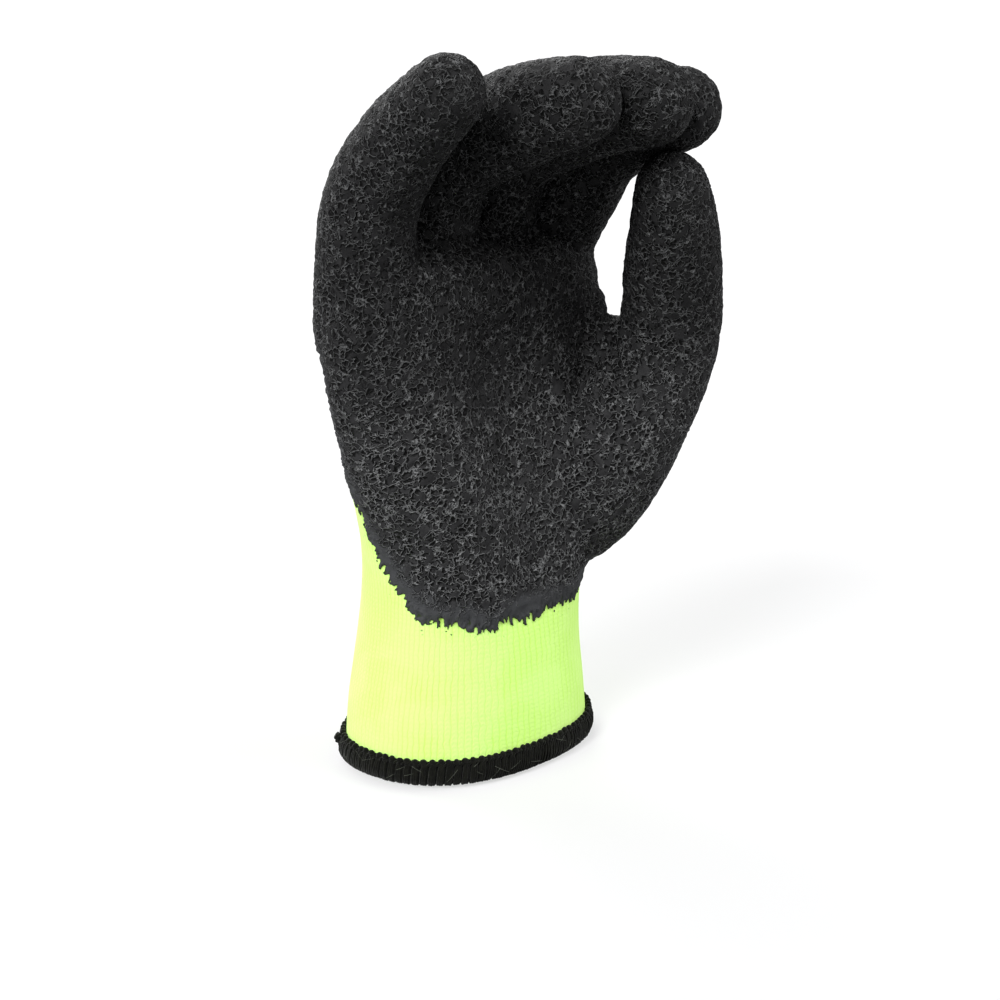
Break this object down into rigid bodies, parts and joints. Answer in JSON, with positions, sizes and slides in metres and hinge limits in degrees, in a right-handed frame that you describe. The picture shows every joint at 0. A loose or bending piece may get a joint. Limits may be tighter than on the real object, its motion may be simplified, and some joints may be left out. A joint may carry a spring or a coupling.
{
  "type": "thermal work glove",
  "caption": "Right-hand knitted thermal work glove with a crinkle latex palm, fingers and thumb, rib cuff and bound hem, shaped as worn with the fingers curled.",
  "frame": {"origin": "middle of the wrist opening, in the plane of the hem", "axes": "+Z from the hem towards the fingers, -Y the way the palm faces, +X the thumb's side"},
  "size_m": [0.1131, 0.0867, 0.1962],
  "materials": {
    "knit": "yellow-green knit, matt",
    "latex": "black crinkled latex, satin",
    "binding": "black overlocked thread, matt"
  },
  "bodies": {
    "root": {"knit_liner": "knit", "latex_coating": "latex", "cuff_binding": "binding"}
  },
  "joints": []
}
